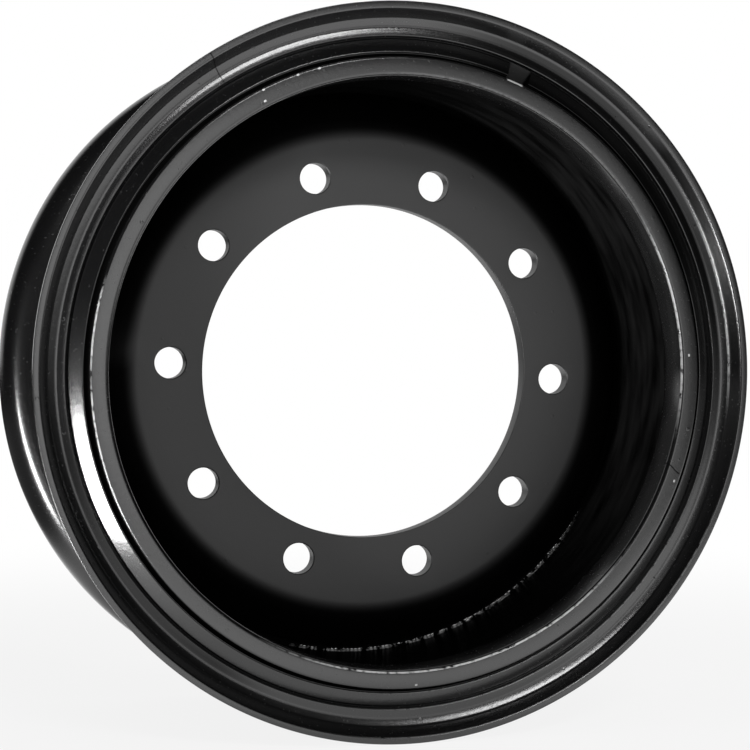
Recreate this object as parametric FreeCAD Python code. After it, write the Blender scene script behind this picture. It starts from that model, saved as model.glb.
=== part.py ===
import FreeCAD, Part
import math
import os

# A three-piece steel truck wheel for tube tyres, in millimetres and degrees.
# The wheel spins about Y, its gutter side faces -Y and Z is up. The origin is the centre of the rim.

# Rim flanges and bead seats
rim_width = 215.9           # between the tyre sides of the two flanges
bead_diameter = 514.35      # where a bead seat meets its flange
flange_height = 36.0        # from there out to the flange's edge
flange_reach = 23.6         # from a flange's tyre side out to its lip, and the radius of that curl
lip_wall = 6.4
bead_taper = 5.0
bead_seat_width = 18.0
flat_turn = 40.0            # a rounded bend is made of flats that each turn this much

# Rim base
barrel_drop = 5.7           # from the bead seat's large end in to the barrel's outside
barrel_wall = 9.5
flange_wall = 9.0
bead_ramp = 10.0            # axial run from the plain barrel up to the rear bead seat
flare_length = 14.0         # axial run from the barrel's bore out to the back of the rear flange
rear_hollow_offset = 9.0    # from the lip's inner edge in to the bottom of the hollow behind it
valve_slot_width = 18.0
valve_slot_length = 44.0
valve_slot_inset = 62.0     # from the tyre side of the front flange
valve_slot_angle = 180.0

# Gutter at the open end of the rim base
gutter_reach = 22.0         # from the tyre side of the front flange out to the gutter's face
gutter_lip_drop = 1.5       # from the barrel's outside in to the lip's
gutter_lip_wall = 10.3
gutter_wall = 8.0           # left under the groove
groove_width = 16.7
groove_depth = 7.0
gutter_root = 8.0           # the gutter's thick wall runs this far past its groove
gutter_taper = 12.0         # axial run from the gutter's bore out to the barrel's bore

# Side ring
side_ring_fit = 0.5         # radial room over the barrel
bevel_height = 14.8         # from the barrel up to the edge of the bevel that the lock ring bears on
bevel_front = 9.3           # from the tyre side of the flange out to that edge
bevel_root = 2.0            # the bevel's inner end, behind the tyre side of the flange
nose_rise = 4.2             # the nose stands this far out of the bevel's edge
nose_slope = 1.1
knee_offset = 4.0           # from the nose out to the bend in the slope behind it
knee_height = 1.5           # that bend above the bottom of the valley
valley_wall = 8.5           # left between the bottom of the valley and the tyre side
valley_offset = 11.5        # from the lip's inner edge in to the bottom of the valley
rise_height = 3.4           # from there up to the foot of the lip's wall
rise_offset = 5.6           # from the lip's inner edge in to that foot

# Lock ring
lock_play = 0.3             # room to the groove and to the side ring
lock_lip_gap = 3.6          # radial gap between the gutter lip and the ring's head
lock_head_overhang = 4.0    # the head stands this far out of the groove
lock_edge_play = 0.8        # the head's outer edge stops this far short of the bevel's edge
split_width = 18.5
split_angle = 68.2

# Disc
disc_face_y = -11.0
disc_thickness = 15.0
disc_bend = 24.0            # outer radius of the bend from the flat centre to the cone
disc_slope = 50.0           # turn of that bend
disc_fit = 0.05
stud_circle = 335.0
bore_margin = 27.0          # from the stud circle in to the hub bore
land_margin = 27.5          # from the stud circle out to the end of the flat centre
stud_count = 10
stud_hole = 26.0
stud_phase = -2.3

# Weld that holds the disc in the rim base
weld_disc_leg = 6.0
weld_barrel_leg = 8.0

flange_y = rim_width / 2
lip_y = flange_y + flange_reach
bead_r = bead_diameter / 2
flange_r = bead_r + flange_height
lip_inner_r = flange_r - lip_wall
seat_end_r = bead_r - bead_seat_width * math.tan(math.radians(bead_taper))
barrel_outer_r = bead_r - barrel_drop
barrel_r = barrel_outer_r - barrel_wall
gutter_lip_r = barrel_outer_r - gutter_lip_drop
groove_r = gutter_lip_r - groove_depth
gutter_r = groove_r - gutter_wall
gutter_front_y = -flange_y - gutter_reach
groove_front_y = gutter_front_y + gutter_lip_wall
groove_back_y = groove_front_y + groove_width
bevel_r = barrel_outer_r + bevel_height
bevel_y = -flange_y - bevel_front
side_ring_bore_r = barrel_outer_r + side_ring_fit
side_ring_root_y = -flange_y + bevel_root
stud_r = stud_circle / 2
disc_edge_r = barrel_r - disc_fit
disc_rise = math.tan(math.radians(disc_slope))
spin_axis = FreeCAD.Vector(0, 1, 0)
centre = FreeCAD.Vector(0, 0, 0)


def arc_points(centre_r, centre_y, radius, start, turn):
    """Points of an arc as radius and y, from an angle measured from outwards towards +Y."""
    flats = max(1, round(abs(turn) / flat_turn))
    angles = [math.radians(start + turn * i / flats) for i in range(flats + 1)]
    return [(centre_r + radius * math.cos(a), centre_y + radius * math.sin(a)) for a in angles]


def ring(points, sweep=360.0, start=0.0):
    """Solid swept about the spin axis by an outline of radius and y, from +X towards +Z."""
    corners = [FreeCAD.Vector(radius, y, 0) for radius, y in points]
    solid = Part.Face(Part.makePolygon(corners + corners[:1])).revolve(centre, spin_axis, -sweep)
    solid.rotate(centre, spin_axis, -start)
    return solid


def flange_curl(side):
    """The tyre side of a flange from the tip of its lip in to its web; side is -1 at the front, 1 behind."""
    return arc_points(flange_r - flange_reach, side * lip_y, flange_reach, 0, -side * 90)


def rim_base():
    back_y = flange_y + flange_wall
    root_y = groove_back_y + gutter_root
    seat_y = flange_y - bead_seat_width
    solid = ring([
        (gutter_r, gutter_front_y),
        (gutter_r, root_y),
        (barrel_r, root_y + gutter_taper),
        (barrel_r, back_y - flare_length),
        (bead_r - barrel_wall, back_y),
        (lip_inner_r - rear_hollow_offset, back_y),
        (lip_inner_r, lip_y),
        *flange_curl(1),
        (bead_r, flange_y),
        (seat_end_r, seat_y),
        (barrel_outer_r, seat_y - bead_ramp),
        (barrel_outer_r, groove_back_y),
        (groove_r, groove_back_y),
        (groove_r, groove_front_y),
        (gutter_lip_r, groove_front_y),
        (gutter_lip_r, gutter_front_y),
    ])
    return solid.cut(valve_slot())


def valve_slot():
    half = valve_slot_width / 2
    run = valve_slot_length / 2 - half
    depth = 3 * barrel_wall
    middle_y = valve_slot_inset - flange_y
    ends = [FreeCAD.Vector(barrel_r - barrel_wall, middle_y + side * run, 0) for side in (-1, 1)]
    slot = Part.makeBox(depth, 2 * run, valve_slot_width, ends[0] - FreeCAD.Vector(0, 0, half))
    for end in ends:
        slot = slot.fuse(Part.makeCylinder(half, depth, end, FreeCAD.Vector(1, 0, 0)))
    slot = slot.removeSplitter()
    slot.rotate(centre, spin_axis, -valve_slot_angle)
    return slot


def side_ring():
    nose_r = bevel_r + nose_slope
    valley_y = -flange_y - valley_wall
    foot_y = -flange_y + bead_seat_width
    return ring([
        (side_ring_bore_r, side_ring_root_y),
        (bevel_r, bevel_y),
        (nose_r, bevel_y - nose_rise),
        (nose_r + knee_offset, valley_y - knee_height),
        (lip_inner_r - valley_offset, valley_y),
        (lip_inner_r - rise_offset, valley_y - rise_height),
        (lip_inner_r, -lip_y),
        *flange_curl(-1),
        (bead_r, -flange_y),
        (seat_end_r, foot_y),
        (side_ring_bore_r, foot_y),
    ])


def lock_ring():
    # The ring's bevel runs beside the side ring's, lock_play away from it
    bevel_start = FreeCAD.Vector(side_ring_bore_r, side_ring_root_y, 0)
    bevel_end = FreeCAD.Vector(bevel_r, bevel_y, 0)
    along = (bevel_end - bevel_start).normalize()
    away = FreeCAD.Vector(along.y, -along.x, 0) * lock_play
    root = bevel_start + away
    tip = bevel_end + away - along * lock_edge_play
    toe_r = groove_r + lock_play
    toe_front_y = groove_front_y + lock_play
    head_r = gutter_lip_r + lock_lip_gap
    gap = math.degrees(split_width / head_r)
    return ring([
        (toe_r, toe_front_y),
        (toe_r, groove_back_y - lock_play),
        (root.x, root.y),
        (tip.x, tip.y),
        (head_r, toe_front_y - lock_head_overhang),
        (head_r, toe_front_y),
    ], 360 - gap, split_angle + gap / 2)


def disc_cone(offset):
    """The dished outline from the flat centre out to the barrel, this far behind the front face."""
    flat_r = stud_r + land_margin
    bend_y = disc_face_y + disc_bend
    bend = arc_points(flat_r, bend_y, disc_bend - offset, -90, disc_slope)
    bend_end_r, bend_end_y = bend[-1]
    return bend + [(disc_edge_r, bend_end_y + (disc_edge_r - bend_end_r) * disc_rise)]


def disc():
    bore_r = stud_r - bore_margin
    solid = ring([
        (bore_r, disc_face_y),
        *disc_cone(0),
        *reversed(disc_cone(disc_thickness)),
        (bore_r, disc_face_y + disc_thickness),
    ])
    for i in range(stud_count):
        mouth = FreeCAD.Vector(stud_r, disc_face_y, 0)
        drill = Part.makeCylinder(stud_hole / 2, disc_thickness, mouth, spin_axis)
        drill.rotate(centre, spin_axis, -stud_phase - 360 * i / stud_count)
        solid = solid.cut(drill)
    return solid


def front_weld():
    edge_r, edge_y = disc_cone(0)[-1]
    root_y = edge_y + (barrel_r - edge_r) * disc_rise
    lean = math.radians(disc_slope)
    disc_toe = (barrel_r - weld_disc_leg * math.cos(lean), root_y - weld_disc_leg * math.sin(lean))
    return ring([(barrel_r, root_y), (barrel_r, root_y - weld_barrel_leg), disc_toe])


os.makedirs("parts", exist_ok=True)
nodes = {
    "rim_base": rim_base(),
    "side_ring": side_ring(),
    "lock_ring": lock_ring(),
    "disc": disc(),
    "front_weld": front_weld(),
}
for name, shape in nodes.items():
    shape.exportStep("parts/" + name + ".step")
    print(name, len(shape.Solids), shape.isValid(), round(shape.Volume))
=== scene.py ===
import math

import bmesh
import bpy
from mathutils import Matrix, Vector


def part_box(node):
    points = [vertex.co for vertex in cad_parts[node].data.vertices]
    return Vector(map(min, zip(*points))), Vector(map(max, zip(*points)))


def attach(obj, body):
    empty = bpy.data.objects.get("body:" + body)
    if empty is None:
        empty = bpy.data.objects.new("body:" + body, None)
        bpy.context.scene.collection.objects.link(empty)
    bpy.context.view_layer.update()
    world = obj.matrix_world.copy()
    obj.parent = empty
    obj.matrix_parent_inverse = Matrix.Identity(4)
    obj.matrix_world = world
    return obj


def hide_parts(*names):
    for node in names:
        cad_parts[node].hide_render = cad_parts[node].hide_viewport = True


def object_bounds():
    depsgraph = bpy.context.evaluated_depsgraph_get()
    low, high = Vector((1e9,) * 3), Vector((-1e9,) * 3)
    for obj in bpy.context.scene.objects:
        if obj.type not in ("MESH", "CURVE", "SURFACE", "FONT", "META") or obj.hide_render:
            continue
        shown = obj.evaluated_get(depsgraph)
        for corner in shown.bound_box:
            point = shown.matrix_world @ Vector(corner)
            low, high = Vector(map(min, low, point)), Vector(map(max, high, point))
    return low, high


mm = 0.001
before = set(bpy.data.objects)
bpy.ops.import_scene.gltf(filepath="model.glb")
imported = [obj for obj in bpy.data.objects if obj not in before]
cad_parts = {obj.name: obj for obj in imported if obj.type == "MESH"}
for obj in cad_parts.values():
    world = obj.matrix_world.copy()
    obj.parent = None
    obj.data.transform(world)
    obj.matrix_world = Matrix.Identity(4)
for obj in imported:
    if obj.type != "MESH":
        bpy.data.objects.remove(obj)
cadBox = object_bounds()
origin = Vector((0, 0, 0))
spinAxis = (0, 1, 0)
print("frame loaded:", sorted(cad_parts))


class Wire:  # a socket of a node tree, so that shader maths reads as plain sums
    def __init__(self, tree, socket=None):
        self.tree = tree
        self.socket = socket

    def node(self, kind, settings=None, inputs=None, output=0):
        made = self.tree.nodes.new(kind)
        for key, value in (settings or {}).items():
            setattr(made, key, value)
        for key, value in (inputs or {}).items():
            if isinstance(value, Wire):
                self.tree.links.new(value.socket, made.inputs[key])
            else:
                made.inputs[key].default_value = value
        return Wire(self.tree, made.outputs[output] if len(made.outputs) else None)

    def sum(self, operation, *values):
        return self.node("ShaderNodeMath", {"operation": operation}, dict(enumerate(values)))

    def __add__(self, other):
        return self.sum("ADD", self, other)

    def __radd__(self, other):
        return self.sum("ADD", other, self)

    def __sub__(self, other):
        return self.sum("SUBTRACT", self, other)

    def __rsub__(self, other):
        return self.sum("SUBTRACT", other, self)

    def __mul__(self, other):
        return self.sum("MULTIPLY", self, other)

    def __rmul__(self, other):
        return self.sum("MULTIPLY", other, self)

    def __abs__(self):
        return self.sum("ABSOLUTE", self)


def newTree(name):
    material = bpy.data.materials.new(name)
    material.use_nodes = True
    material.node_tree.nodes.clear()
    return material, Wire(material.node_tree)


def noiseOf(tree, place, scale, detail=2.0):
    return tree.node("ShaderNodeTexNoise", {"noise_dimensions": "3D"},
                     {"Vector": place, "Scale": scale, "Detail": detail})


def stepUp(tree, value, low, high):  # 0 at low and 1 at high, whichever is larger, smooth between
    return tree.node("ShaderNodeMapRange", {"interpolation_type": "SMOOTHSTEP"},
                     {"Value": value, "From Min": low, "From Max": high})


mixSockets = {"share": 0, "first": 6, "second": 7, "result": 2}  # by number, since the names repeat


def mixColours(tree, share, first, second):
    first, second = [(*colour, 1) if isinstance(colour, tuple) else colour for colour in (first, second)]
    inputs = {mixSockets["share"]: share, mixSockets["first"]: first, mixSockets["second"]: second}
    return tree.node("ShaderNodeMix", {"data_type": "RGBA"}, inputs, mixSockets["result"])


# the noises that break up a patch: streaks stretched round the wheel, and fine flecks
streakLook = {"round": 5.0, "along": 75.0, "out": 30.0, "detail": 2.0}
fleckLook = {"scale": 170.0, "detail": 3.0}


def patchMask(tree, patch, spot):  # where a patch covers the paint with a tone of its own, in millimetres and degrees: dark seams, a scratch, and painted shade, highlights and light
    inner, outer = [edge * mm for edge in patch["radius"]]
    soft = patch["soft"] * mm
    mask = patch["share"] * (stepUp(tree, spot["radius"], inner - soft, inner)
                             - stepUp(tree, spot["radius"], outer, outer + soft))
    if "angle" in patch:
        middle, reach = [math.radians(turn) for turn in patch["angle"]]
        bend = stepUp(tree, spot["radius"], inner, outer) * math.radians(patch.get("bend", 0.0))
        core = reach * patch.get("core", 0.7)
        mask = mask * (1 - stepUp(tree, abs(spot["angle"] - middle - bend), core, reach))
    if "y" in patch:
        mask = mask * stepUp(tree, spot["y"], *[edge * mm for edge in patch["y"]])
    for noise in ("streaks", "flecks"):
        if noise in patch:
            mask = mask * stepUp(tree, spot[noise], *patch[noise])
    return mask


def paintMaterial(finish):
    material, tree = newTree(finish["name"])
    place = tree.node("ShaderNodeTexCoord", output="Object")
    x, y, z = [tree.node("ShaderNodeSeparateXYZ", None, {"Vector": place}, axis) for axis in "XYZ"]
    radius = tree.sum("SQRT", x * x + z * z)
    angle = tree.sum("ARCTAN2", z, x)
    stretched = tree.node("ShaderNodeCombineXYZ", None, {
        "X": angle * streakLook["round"], "Y": y * streakLook["along"], "Z": radius * streakLook["out"]})
    spot = {"radius": radius, "angle": angle, "y": y,
            "streaks": noiseOf(tree, stretched, 1.0, streakLook["detail"]),
            "flecks": noiseOf(tree, place, fleckLook["scale"], fleckLook["detail"])}
    grain = noiseOf(tree, place, finish["grainScale"])
    peel = noiseOf(tree, place, finish["peelScale"])
    cloud = noiseOf(tree, place, finish["cloudScale"], finish["cloudDetail"])
    dust = stepUp(tree, noiseOf(tree, place, finish["dustScale"], finish["dustDetail"]), *finish["dustSteps"])
    cells = tree.node("ShaderNodeTexVoronoi", {"feature": "F1"},
                      {"Vector": place, "Scale": finish["nibScale"]})
    nib = 1 - stepUp(tree, cells, *finish["nibSteps"])
    tone = mixColours(tree, cloud, finish["dark"], finish["light"])
    tone = mixColours(tree, dust * finish["dust"], tone, finish["dustTone"])
    rough = finish["rough"] + (cloud - 0.5) * finish["roughSpread"] + dust * finish["dustRough"]
    height = grain * finish["grainHeight"] + peel * finish["peelHeight"] + nib * finish["nibHeight"]
    bump = tree.node("ShaderNodeBump", None, {"Strength": 1.0, "Distance": mm, "Height": height})
    shader = tree.node("ShaderNodeBsdfPrincipled", None,
                       {"Base Color": tone, "Roughness": rough, "IOR": finish["ior"], "Normal": bump})
    for patch in finish["patches"]:
        cover = tree.node("ShaderNodeBsdfDiffuse", None, {"Color": (*[patch["tone"]] * 3, 1)})
        mask = patchMask(tree, patch, spot)
        shader = tree.node("ShaderNodeMixShader", None, {0: mask, 1: shader, 2: cover})
    tree.node("ShaderNodeOutputMaterial", None, {"Surface": shader})
    return material


satinPaint = {
    "dark": (0.002, 0.002, 0.0021), "light": (0.004, 0.004, 0.0042), "cloudScale": 14.0, "cloudDetail": 4.0,
    "dustTone": (0.04, 0.04, 0.04), "dust": 0.2, "dustRough": 0.1, "dustScale": 420.0, "dustDetail": 1.0,
    "dustSteps": (0.66, 0.78), "rough": 0.21, "roughSpread": 0.08, "ior": 1.8,
    "grainScale": 900.0, "grainHeight": 0.034, "peelScale": 260.0, "peelHeight": 0.045,
    "nibScale": 55.0, "nibSteps": (0.05, 0.09), "nibHeight": 0.12,
}
seamAndShadeTone = 0.0015  # near-black matte tone: dark butt-weld seams, and painted shade where it covers the gloss in recesses and dark stretches
flatPaint = {
    **satinPaint, "name": "flatBlackPaint", "dark": (0.021, 0.021, 0.0211), "light": (0.025, 0.025, 0.0252),
    "rough": 0.46, "roughSpread": 0.12, "ior": 1.5, "dust": 0.15, "grainHeight": 0.06, "peelHeight": 0.03,
    # painted shade: the disc's shoulder from 207 mm out is covered with near-black matte tone, where it turns
    # away into the dark barrel
    "cloudScale": 9.0, "patches": [{"tone": seamAndShadeTone, "share": 0.95, "radius": (207, 300), "soft": 14}],
}
weldPaint = {**satinPaint, "name": "weldBlackPaint", "peelHeight": 0.2, "peelScale": 420.0, "patches": [
    # painted shade: near-black matte tone all round, apart from broken flecks at the lower right that keep
    # the paint's gloss
    {"tone": seamAndShadeTone, "share": 1.0, "radius": (100, 300), "soft": 1, **where} for where in (
        {"flecks": (0.54, 0.42)}, {"angle": (60, 100), "core": 0.9}, {"angle": (-150, 52), "core": 0.85})]}
# painted highlights along the gutter's edges: tone, radius, middle and reach of each highlighted stretch
paintedEdgeHighlights = [(0.8, 236.2, -78, 44), (0.5, 235.4, 10, 24), (0.12, 236, 62, 40), (0.35, 248.4, -166, 16),
             (0.35, 248.4, 172, 10)]
# painted glints, bright specks on the gutter: angle, radius
paintedGlintSpecks = [(111, 248.4), (106.8, 248.2), (117.9, 248.2), (-87.8, 246.9), (118.6, 240), (3.6, 241.9),
          (-21, 245.4)]
rimPaint = {**satinPaint, "name": "rimBlackPaint", "patches": [
    # painted shade: the bore's gloss is covered with near-black matte tone, darker behind the gutter, with
    # paler streaks round it at the right
    {"tone": seamAndShadeTone, "share": 0.8, "radius": (100, 233.4), "soft": 0.8},
    {"tone": seamAndShadeTone, "share": 0.95, "radius": (100, 243), "soft": 1, "y": (-100, -80)},
    {"tone": 0.05, "share": 0.3, "radius": (100, 243), "soft": 1, "y": (-128, -120), "angle": (15, 75),
     "core": 0.3, "streaks": (0.15, 0.85)},
    # the butt weld of the rolled rim as a dark seam, and painted light on the edge that shows in the split of
    # the lock ring
    {"tone": seamAndShadeTone, "share": 0.9, "radius": (234.8, 247.6), "soft": 0.3, "angle": (-18.2, 0.15), "bend": -1.1,
     "y": (-124, -126)},
    {"tone": 0.6, "share": 0.8, "radius": (248.4, 250.4), "soft": 0.3, "angle": (69, 1.8), "y": (-115, -120)},
    # painted highlights along the gutter's edges, and painted glints on its face
    *[{"tone": tone, "share": 0.8, "radius": (radius, radius + 0.9), "soft": 0.4, "angle": (turn, reach),
       "core": 0.4, "y": (-125, -127), "flecks": (0.32, 0.55)} for tone, radius, turn, reach in paintedEdgeHighlights],
    *[{"tone": 0.7, "share": 0.8, "radius": (radius - 0.5, radius + 0.5), "soft": 0.4, "angle": (turn, 0.28),
       "y": (-115, -120)} for turn, radius in paintedGlintSpecks],
]}
ringPaint = {**satinPaint, "name": "ringBlackPaint", "patches": [
    # painted shade: the gloss is covered with a dark matte tone in the valley at the upper right and the
    # lower left, and on the lip's wall at the right
    {"tone": 0.003, "share": 0.6, "radius": (268.5, 279), "soft": 1.5, "angle": (46, 44), "core": 0.5},
    {"tone": 0.003, "share": 0.65, "radius": (268.5, 273.5), "soft": 1.5, "angle": (-145, 34), "core": 0.6},
    {"tone": 0.002, "share": 0.85, "radius": (282.6, 286.4), "soft": 0.8, "angle": (20, 26)},
    # painted highlights along the nose and the lip
    *[{"tone": 0.25, "share": 0.6, "radius": (radius, radius + 0.7), "soft": 0.3, "angle": (-60, 42),
       "core": 0.5, "y": (-115, -117), "flecks": (0.3, 0.5)} for radius in (267.3, 287.7)],
    # painted light on the bevel that shows in the split of the lock ring, and the ring's butt weld as a dark
    # seam
    {"tone": 0.06, "share": 0.7, "radius": (252, 265.5), "soft": 0.5, "angle": (68.2, 2.2),
     "y": (-104, -105.5)},
    {"tone": seamAndShadeTone, "share": 0.7, "radius": (267, 293), "soft": 0.5, "angle": (122.8, 0.12)},
    # a painted highlight along the foot of the lip's wall
    {"tone": 0.35, "share": 0.7, "radius": (280.3, 281.5), "soft": 0.4, "angle": (12, 20), "core": 0.4,
     "y": (-115, -117), "flecks": (0.3, 0.5)},
]}
lockPaint = {**satinPaint, "name": "lockBlackPaint", "patches": [
    # painted shade: near-black matte tone down in the groove and on the face at the upper right
    {"tone": seamAndShadeTone, "share": 1.0, "radius": (100, 253.1), "soft": 0.4},
    {"tone": 0.002, "share": 0.75, "radius": (252, 268), "soft": 1, "angle": (46, 36), "core": 0.6},
    # a painted highlight along the inner edge, and a scratch
    {"tone": 0.25, "share": 0.6, "radius": (253.9, 254.7), "soft": 0.3, "angle": (-62, 42), "core": 0.5,
     "flecks": (0.3, 0.5)},
    {"tone": 0.08, "share": 0.5, "radius": (255, 263), "soft": 0.5, "angle": (-79.9, 0.12), "bend": 0.9},
]}
rimMaterial, ringMaterial, lockMaterial, discMaterial, weldMaterial = [
    paintMaterial(finish) for finish in (rimPaint, ringPaint, lockPaint, flatPaint, weldPaint)]
print("paints mixed")


def pickVerts(piece, test):
    bm = bmesh.from_edit_mesh(piece.data)
    for vert in bm.verts:
        vert.select = test(vert.co)
    bm.select_flush_mode()
    bmesh.update_edit_mesh(piece.data)


def pickEdges(piece, test):
    bm = bmesh.from_edit_mesh(piece.data)
    for edge in bm.edges:
        edge.select = test(edge)
    bm.select_flush_mode()
    bmesh.update_edit_mesh(piece.data)


def startPiece(name):  # the primitive just added becomes this piece, open in edit mode
    piece = bpy.context.object
    piece.name = piece.data.name = name
    bpy.ops.object.mode_set(mode="EDIT")
    bpy.ops.mesh.select_mode(type="VERT")
    return piece


def finishPiece(piece, smoothAngle=32):  # outward normals, and smooth below this angle
    if piece.mode == "EDIT":
        bpy.ops.mesh.select_all(action="SELECT")
        bpy.ops.mesh.normals_make_consistent(inside=False)
        bpy.ops.object.mode_set(mode="OBJECT")
    bpy.ops.object.select_all(action="DESELECT")
    piece.select_set(True)
    bpy.context.view_layer.objects.active = piece
    bpy.ops.object.transform_apply(location=True, rotation=True, scale=True)
    bpy.ops.object.shade_smooth_by_angle(angle=math.radians(smoothAngle))


def dress(piece, node, material):
    piece.data.materials.clear()
    piece.data.materials.append(material)
    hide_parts(node)
    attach(piece, "root")
    print(piece.name, len(piece.data.polygons), "faces")


def cutWith(piece, cutter):
    cut = piece.modifiers.new("cut", "BOOLEAN")
    cut.operation = "DIFFERENCE"
    cut.solver = "EXACT"
    cut.object = cutter
    bpy.context.view_layer.objects.active = piece
    bpy.ops.object.modifier_apply(modifier=cut.name)
    bpy.data.objects.remove(cutter)


# how near a corner is found and doubles are joined, and the degrees that each flat of a rounded corner turns
outline = {"near": 1e-7, "weld": 1e-6, "flatTurn": 11}


def drawSection(name, corners):  # a closed outline of (radius, y, rounding) corners in the XY plane
    bpy.ops.object.select_all(action="DESELECT")
    bpy.ops.mesh.primitive_circle_add(vertices=len(corners), radius=mm, fill_type="NOTHING", location=origin)
    piece = startPiece(name)
    starts = [vert.co.copy() for vert in piece.data.vertices]
    spots = [Vector((radius, y, 0)) for radius, y, rounding in corners]
    for start, spot in zip(starts, spots):
        pickVerts(piece, lambda co: (co - start).length < outline["near"])
        bpy.ops.transform.translate(value=spot - start)
    for i, (radius, y, rounding) in enumerate(corners):
        if rounding:
            before = (spots[i] - spots[i - 1]).normalized()
            after = (spots[(i + 1) % len(spots)] - spots[i]).normalized()
            turn = before.angle(after)
            pickVerts(piece, lambda co: (co - spots[i]).length < outline["near"])
            flats = max(2, round(math.degrees(turn) / outline["flatTurn"]))
            bpy.ops.mesh.bevel(offset_type="OFFSET", offset=rounding * math.tan(turn / 2), affect="VERTICES",
                               segments=flats, clamp_overlap=False)
    return piece


def spinSection(piece, steps, turn=360.0):
    bpy.ops.mesh.select_all(action="SELECT")
    bpy.ops.mesh.spin(steps=steps, angle=math.radians(turn), center=origin, axis=spinAxis)
    bpy.ops.mesh.select_all(action="SELECT")
    bpy.ops.mesh.remove_doubles(threshold=outline["weld"])


# sizes that the rings share, out from the frame's boxes
rimLow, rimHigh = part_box("rim_base")
flangeR = min(rimHigh.x, -rimLow.x, rimHigh.z, -rimLow.z)
lipY, gutterY = rimHigh.y, rimLow.y
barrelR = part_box("front_weld")[1].x
flange = {"reach": 23.6 * mm, "height": 36.0 * mm, "lipWall": 5.2 * mm, "wall": 9.0 * mm, "curl": 20.2 * mm,
          "innerRound": 2.2 * mm, "outerRound": 0.4 * mm, "seatRound": 7.0 * mm, "seatWidth": 18.0 * mm,
          "seatDrop": 1.575 * mm}
flangeY = lipY - flange["reach"]
beadR = flangeR - flange["height"]

rim = {"steps": 432, "barrelWall": 9.5 * mm, "bend": 10.0 * mm, "ramp": 10.0 * mm, "flare": 14.0 * mm,
       "rearHollow": 9.0 * mm, "lipDrop": 1.5 * mm, "lipWall": 10.3 * mm, "grooveDepth": 7.0 * mm,
       "grooveWidth": 16.7 * mm, "gutterWall": 8.0 * mm, "root": 8.0 * mm, "taper": 12.0 * mm,
       "mouthRound": 3.6 * mm, "lipRound": 2.0 * mm, "grooveRound": 2.0 * mm}


def makeRimBase():
    outerR = barrelR + rim["barrelWall"]
    lipR = outerR - rim["lipDrop"]
    grooveR = lipR - rim["grooveDepth"]
    gutterR = grooveR - rim["gutterWall"]
    grooveFrontY = gutterY + rim["lipWall"]
    grooveBackY = grooveFrontY + rim["grooveWidth"]
    rootY = grooveBackY + rim["root"]
    backY = flangeY + flange["wall"]
    seatY = flangeY - flange["seatWidth"]
    lipInnerR = flangeR - flange["lipWall"]
    piece = drawSection("rimBase", [
        (gutterR, gutterY, rim["mouthRound"]),
        (gutterR, rootY, rim["bend"]),
        (barrelR, rootY + rim["taper"], rim["bend"]),
        (barrelR, backY - rim["flare"], rim["bend"]),
        (beadR - rim["barrelWall"], backY, rim["bend"] / 2),
        (lipInnerR - rim["rearHollow"], backY, rim["bend"] / 2),
        (lipInnerR, lipY, flange["innerRound"]),
        (flangeR, lipY, flange["outerRound"]),
        (flangeR, flangeY, flange["curl"]),
        (beadR, flangeY, flange["seatRound"]),
        (beadR - flange["seatDrop"], seatY, rim["bend"] / 2),
        (outerR, seatY - rim["ramp"], rim["bend"] / 2),
        (outerR, grooveBackY, rim["grooveRound"]),
        (grooveR, grooveBackY, rim["grooveRound"]),
        (grooveR, grooveFrontY, rim["grooveRound"]),
        (lipR, grooveFrontY, rim["grooveRound"] / 2),
        (lipR, gutterY, rim["lipRound"]),
    ])
    spinSection(piece, rim["steps"])
    finishPiece(piece)
    cutWith(piece, makeSlotCutter(outerR))
    finishPiece(piece)
    dress(piece, "rim_base", rimMaterial)


slot = {"width": 18.0 * mm, "length": 44.0 * mm, "inset": 62.0 * mm, "depth": 40.0 * mm,
        "endFlat": 0.01 * mm, "endSteps": 12}


def makeSlotCutter(outerR):  # the valve slot on the far left of the barrel
    bpy.ops.object.select_all(action="DESELECT")
    bpy.ops.mesh.primitive_cube_add(size=1, location=(-outerR, slot["inset"] - flangeY, 0),
                                    scale=(slot["depth"], slot["length"], slot["width"]))
    bpy.ops.object.transform_apply(location=True, rotation=True, scale=True)
    cutter = startPiece("slotCutter")
    bpy.ops.mesh.select_mode(type="EDGE")
    pickEdges(cutter, lambda edge: abs(edge.verts[0].co.x - edge.verts[1].co.x) > slot["depth"] / 2)
    bpy.ops.mesh.bevel(offset=slot["width"] / 2 - slot["endFlat"], segments=slot["endSteps"], affect="EDGES",
                       clamp_overlap=False)
    bpy.ops.object.mode_set(mode="OBJECT")
    return cutter


sideRingSizes = {"steps": 432, "fit": 0.5 * mm, "bevelHeight": 14.8 * mm, "bevelFront": 9.3 * mm,
                 "bevelRoot": 2.0 * mm, "noseRise": 2.53 * mm, "noseSlope": 1.1 * mm, "kneeOffset": 3.2 * mm,
                 "kneeHeight": 0.96 * mm, "valleyWall": 10.5 * mm, "valleyOffset": 13.4 * mm,
                 "riseHeight": 2.87 * mm, "riseOffset": 6.8 * mm, "edgeRound": 0.8 * mm,
                 "noseRound": 1.0 * mm, "kneeRound": 6.0 * mm, "valleyRound": 5.0 * mm, "footRound": 4.5 * mm}


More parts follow.
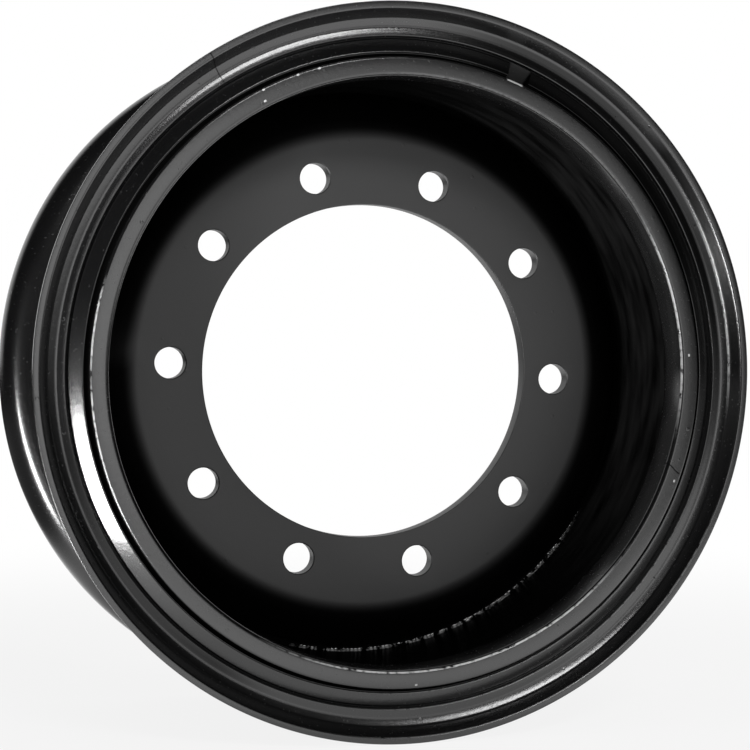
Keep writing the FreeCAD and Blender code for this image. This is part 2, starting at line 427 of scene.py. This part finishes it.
def makeSideRing():
    size = sideRingSizes
    outerR = barrelR + rim["barrelWall"]
    boreR = outerR + size["fit"]
    bevelR = outerR + size["bevelHeight"]
    bevelY = -flangeY - size["bevelFront"]
    noseR = bevelR + size["noseSlope"]
    lipInnerR = flangeR - flange["lipWall"]
    valleyY = -flangeY - size["valleyWall"]
    footY = -flangeY + flange["seatWidth"]
    piece = drawSection("sideRing", [
        (boreR, -flangeY + size["bevelRoot"], size["edgeRound"]),
        (bevelR, bevelY, size["edgeRound"]),
        (noseR, bevelY - size["noseRise"], size["noseRound"]),
        (noseR + size["kneeOffset"], valleyY - size["kneeHeight"], size["kneeRound"]),
        (lipInnerR - size["valleyOffset"], valleyY, size["valleyRound"]),
        (lipInnerR - size["riseOffset"], valleyY - size["riseHeight"], size["footRound"]),
        (lipInnerR, -lipY, flange["innerRound"]),
        (flangeR, -lipY, flange["outerRound"]),
        (flangeR, -flangeY, flange["curl"]),
        (beadR, -flangeY, flange["seatRound"]),
        (beadR - flange["seatDrop"], footY, size["edgeRound"]),
        (boreR, footY, size["edgeRound"]),
    ])
    spinSection(piece, size["steps"])
    finishPiece(piece)
    dress(piece, "side_ring", ringMaterial)


lockSizes = {"steps": 426, "play": 0.3 * mm, "lipGap": 3.6 * mm, "overhang": 4.0 * mm, "edgePlay": 0.8 * mm,
             "edgeRound": 1.0 * mm, "endRound": 0.7 * mm, "endSteps": 2, "splitWidth": 18.5 * mm,
             "splitAngle": 68.2}


def makeLockRing():
    size, side = lockSizes, sideRingSizes
    outerR = barrelR + rim["barrelWall"]
    lipR = outerR - rim["lipDrop"]
    bevelStart = Vector((outerR + side["fit"], -flangeY + side["bevelRoot"]))
    bevelEnd = Vector((outerR + side["bevelHeight"], -flangeY - side["bevelFront"]))
    along = (bevelEnd - bevelStart).normalized()
    away = Vector((along.y, -along.x)) * size["play"]
    root = bevelStart + away
    tip = bevelEnd + away - along * size["edgePlay"]
    toeR = lipR - rim["grooveDepth"] + size["play"]
    toeY = gutterY + rim["lipWall"] + size["play"]
    headR = lipR + size["lipGap"]
    gap = math.degrees(size["splitWidth"] / headR)
    piece = drawSection("lockRing", [
        (toeR, toeY, size["edgeRound"]),
        (toeR, gutterY + rim["lipWall"] + rim["grooveWidth"] - size["play"], size["edgeRound"]),
        (root.x, root.y, size["edgeRound"]),
        (tip.x, tip.y, size["edgeRound"]),
        (headR, toeY - size["overhang"], size["edgeRound"]),
        (headR, toeY, 0),
    ])
    # turn the outline to one side of the split, then spin it round to the other
    bpy.ops.mesh.select_all(action="SELECT")
    bpy.ops.transform.rotate(value=math.radians(size["splitAngle"] + gap / 2), orient_axis="Y",
                             center_override=origin)
    spinSection(piece, size["steps"], 360 - gap)
    bpy.ops.mesh.select_all(action="SELECT")
    bpy.ops.mesh.fill_holes(sides=0)
    bpy.ops.mesh.normals_make_consistent(inside=False)
    # the two ends are the only faces with more than four corners
    pickEdges(piece, lambda edge: any(len(face.verts) > 4 for face in edge.link_faces))
    bpy.ops.mesh.bevel(offset=size["endRound"], segments=size["endSteps"], affect="EDGES", clamp_overlap=True)
    finishPiece(piece)
    dress(piece, "lock_ring", lockMaterial)


discSizes = {"steps": 288, "slope": 50.0, "bend": 24.0 * mm, "thickness": 15.0 * mm, "studCircle": 335.0 * mm,
             "studHole": 26.0 * mm, "studCount": 10, "studPhase": -2.3, "boreMargin": 27.0 * mm,
             "landMargin": 27.5 * mm, "chamfer": 1.0 * mm, "holeChamfer": 0.8 * mm, "holeSteps": 72,
             "drillOver": 3.2 * mm}


def makeDisc():
    size = discSizes
    low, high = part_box("disc")
    faceY = low.y
    backY = faceY + size["thickness"]
    studR = size["studCircle"] / 2
    boreR = studR - size["boreMargin"]
    landR = studR + size["landMargin"]
    half = math.tan(math.radians(size["slope"] / 2))
    rise = math.tan(math.radians(size["slope"]))
    innerBend = size["bend"] - size["thickness"]
    frontR = landR + size["bend"] * half
    rearR = landR + innerBend * half
    edgeR = high.x
    piece = drawSection("discPlate", [
        (boreR, faceY, size["chamfer"]),
        (frontR, faceY, size["bend"]),
        (edgeR, faceY + (edgeR - frontR) * rise, size["chamfer"]),
        (edgeR, backY + (edgeR - rearR) * rise, size["chamfer"]),
        (rearR, backY, innerBend),
        (boreR, backY, size["chamfer"]),
    ])
    spinSection(piece, size["steps"])
    finishPiece(piece)
    cutWith(piece, makeStudCutter(studR, faceY, backY))
    finishPiece(piece)
    dress(piece, "disc", discMaterial)


def makeStudCutter(studR, faceY, backY):  # ten chamfered drills in one mesh
    size = discSizes
    holeR, chamfer, over = size["studHole"] / 2, size["holeChamfer"], size["drillOver"]
    cutter = drawSection("studCutter", [
        (0, faceY - over, 0), (holeR + chamfer + over, faceY - over, 0), (holeR, faceY + chamfer, 0),
        (holeR, backY - chamfer, 0), (holeR + chamfer + over, backY + over, 0), (0, backY + over, 0)])
    spinSection(cutter, size["holeSteps"])
    bpy.ops.mesh.select_all(action="SELECT")
    bpy.ops.mesh.normals_make_consistent(inside=False)
    phase = math.radians(size["studPhase"])
    bpy.ops.transform.translate(value=(studR * math.cos(phase), 0, studR * math.sin(phase)))
    count = size["studCount"] - 1
    bpy.ops.mesh.spin(steps=count, dupli=True, angle=math.tau * count / size["studCount"],
                      center=origin, axis=spinAxis)
    bpy.ops.object.mode_set(mode="OBJECT")
    return cutter


weldSizes = {"ripples": 430, "perRipple": 3, "rippleDepth": 0.3 * mm, "lumpSize": 9.0 * mm,
             "lumpHeight": 1.1 * mm, "barrelLeg": 8.6 * mm, "crownIn": 3.3 * mm, "crownBack": 8.0 * mm,
             "discLeg": 6.6 * mm, "crownRound": 2.4 * mm, "smoothAngle": 60}


def makeWeld():
    size = weldSizes
    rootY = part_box("front_weld")[1].y
    slope = math.radians(discSizes["slope"])
    piece = drawSection("weldBead", [
        (barrelR, rootY, 0),
        (barrelR, rootY - size["barrelLeg"], 0),
        (barrelR - size["crownIn"], rootY - size["crownBack"], size["crownRound"]),
        (barrelR - size["discLeg"] * math.cos(slope), rootY - size["discLeg"] * math.sin(slope), 0),
    ])
    steps = size["ripples"] * size["perRipple"]
    spinSection(piece, steps)
    bpy.ops.mesh.normals_make_consistent(inside=False)
    pickVerts(piece, lambda co: round(math.atan2(co.z, co.x) / math.tau * steps) % size["perRipple"] == 0)
    bpy.ops.transform.shrink_fatten(value=size["rippleDepth"])
    finishPiece(piece, size["smoothAngle"])
    lumps = bpy.data.textures.new("weldLumps", "CLOUDS")
    lumps.noise_scale = size["lumpSize"]
    wave = piece.modifiers.new("lumps", "DISPLACE")
    wave.texture = lumps
    wave.texture_coords = "LOCAL"
    wave.strength = size["lumpHeight"]
    wave.mid_level = 0.5
    bpy.ops.object.modifier_apply(modifier=wave.name)
    dress(piece, "front_weld", weldMaterial)


makeRimBase()
makeSideRing()
makeLockRing()
makeDisc()
makeWeld()
print("pieces made")

floorLook = {"size": 40.0, "tone": (0.93, 0.93, 0.93), "shade": 0.14, "shadeReach": (0.4, 1.6),
             "mirrorShade": 0.4, "mirrorReach": (0.22, 0.46), "farShade": 0.8, "farReach": (1.2, 2.4),
             "leftShade": 0.9, "leftReach": (-0.3, -0.48), "mirrorTone": (1.4, 1.4, 1.4)}


def seenRays(tree):  # the eye's own rays, those mirrored by paint and those let through
    kinds = ("Is Camera Ray", "Is Glossy Ray", "Is Transmission Ray")
    return [tree.node("ShaderNodeLightPath", output=kind) for kind in kinds]


def makeFloor():
    bpy.ops.object.select_all(action="DESELECT")
    bpy.ops.mesh.primitive_plane_add(size=floorLook["size"], location=(0, 0, cadBox[0].z))
    floor = bpy.context.object
    floor.name = "floor"
    material, tree = newTree("floorPaper")
    place = tree.node("ShaderNodeTexCoord", output="Object")
    away = tree.node("ShaderNodeVectorMath", {"operation": "LENGTH"}, {0: place}, "Value")
    across = tree.node("ShaderNodeSeparateXYZ", None, {"Vector": place}, "X")
    camera, glossy, through = seenRays(tree)
    # white, less so near the wheel, where its shadow falls
    white = (camera + through) * (1 - (1 - stepUp(tree, away, *floorLook["shadeReach"])) * floorLook["shade"])
    # painted reflection: in the paint's mirror the floor's glow is painted darker under the wheel, far off
    # and to the left, and brighter than white elsewhere
    mirrored = 1 - (1 - stepUp(tree, away, *floorLook["mirrorReach"])) * floorLook["mirrorShade"]
    mirrored = mirrored * (1 - stepUp(tree, away, *floorLook["farReach"]) * floorLook["farShade"])
    mirrored = mirrored * (1 - stepUp(tree, across, *floorLook["leftReach"]) * floorLook["leftShade"])
    tint = mixColours(tree, glossy, (1, 1, 1), mixColours(tree, mirrored, (0, 0, 0), floorLook["mirrorTone"]))
    plain = tree.node("ShaderNodeBsdfDiffuse", None, {"Color": (*floorLook["tone"], 1)})
    glow = tree.node("ShaderNodeEmission", None, {"Color": tint, "Strength": 1.0})
    share = tree.sum("MINIMUM", white + glossy, 1.0)
    mixed = tree.node("ShaderNodeMixShader", None, {0: share, 1: plain, 2: glow})
    tree.node("ShaderNodeOutputMaterial", None, {"Surface": mixed})
    floor.data.materials.append(material)


skyLook = {"behind": 1.0, "front": 0.01, "turn": (0.4, 0.75), "fill": 0.3}


def makeSky():
    world = bpy.data.worlds.new("studio")
    bpy.context.scene.world = world
    world.use_nodes = True
    world.node_tree.nodes.clear()
    tree = Wire(world.node_tree)
    direction = tree.node("ShaderNodeTexCoord", output="Generated")
    facing = tree.node("ShaderNodeSeparateXYZ", None, {"Vector": direction}, "Y")
    camera, glossy, through = seenRays(tree)
    # white to the eye all round, but in the paint's mirror only behind the wheel
    seen = tree.sum("MINIMUM", camera + through, 1.0)
    behind = stepUp(tree, facing, *skyLook["turn"])
    shown = skyLook["front"] + behind * (skyLook["behind"] - skyLook["front"])
    other = glossy * shown + (1 - glossy) * skyLook["fill"]
    strength = seen * skyLook["behind"] + (1 - seen) * other
    back = tree.node("ShaderNodeBackground", None, {"Color": (1, 1, 1, 1), "Strength": strength})
    tree.node("ShaderNodeOutputWorld", None, {"Surface": back})


# place and size in metres and brightness of each lamp; one without a turn of its own faces the wheel
wattsPerGlow = 4.0  # for each square metre
lamps = {
    "overheadBox": {"place": (0.1, -2.57, 1.55), "size": (1.0, 0.4), "glow": 13.0},
    "leftStrip": {"place": (-0.9, -0.711, -0.27), "size": (1.27, 0.14), "glow": 42.0,
                  "turn": (180.0, 0.0, 39.4)},
    "frontPanel": {"place": (0.445, -2.3, 0.15), "size": (1.39, 0.85), "glow": 0.58},
    "frontBox": {"place": (0.1, -2.3, 0.15), "size": (0.7, 0.85), "glow": 0.75},
}


def makeLamps():
    for name, lamp in lamps.items():
        bpy.ops.object.light_add(type="AREA", location=lamp["place"])
        light = bpy.context.object
        light.name = name
        if "turn" in lamp:
            light.rotation_euler = [math.radians(angle) for angle in lamp["turn"]]
        else:
            light.rotation_euler = (-light.location).to_track_quat("-Z", "Y").to_euler()
        light.data.shape = "RECTANGLE"
        light.data.size, light.data.size_y = lamp["size"]
        light.data.energy = lamp["glow"] * wattsPerGlow * lamp["size"][0] * lamp["size"][1]
        light.visible_camera = False


view = {"location": (-0.46799, -1.71694, 0.02972), "turn": (88.931, -0.298, -15.567), "lens": 100.656,
        "sensor": 36.0}


def makeCamera():
    turn = [math.radians(angle) for angle in view["turn"]]
    bpy.ops.object.camera_add(location=view["location"], rotation=turn)
    camera = bpy.context.object
    camera.data.lens = view["lens"]
    camera.data.sensor_width = view["sensor"]
    bpy.context.scene.camera = camera


makeFloor()
makeSky()
makeLamps()
makeCamera()
bpy.context.scene.view_settings.view_transform = "Standard"
print("stage, lamps and camera set")
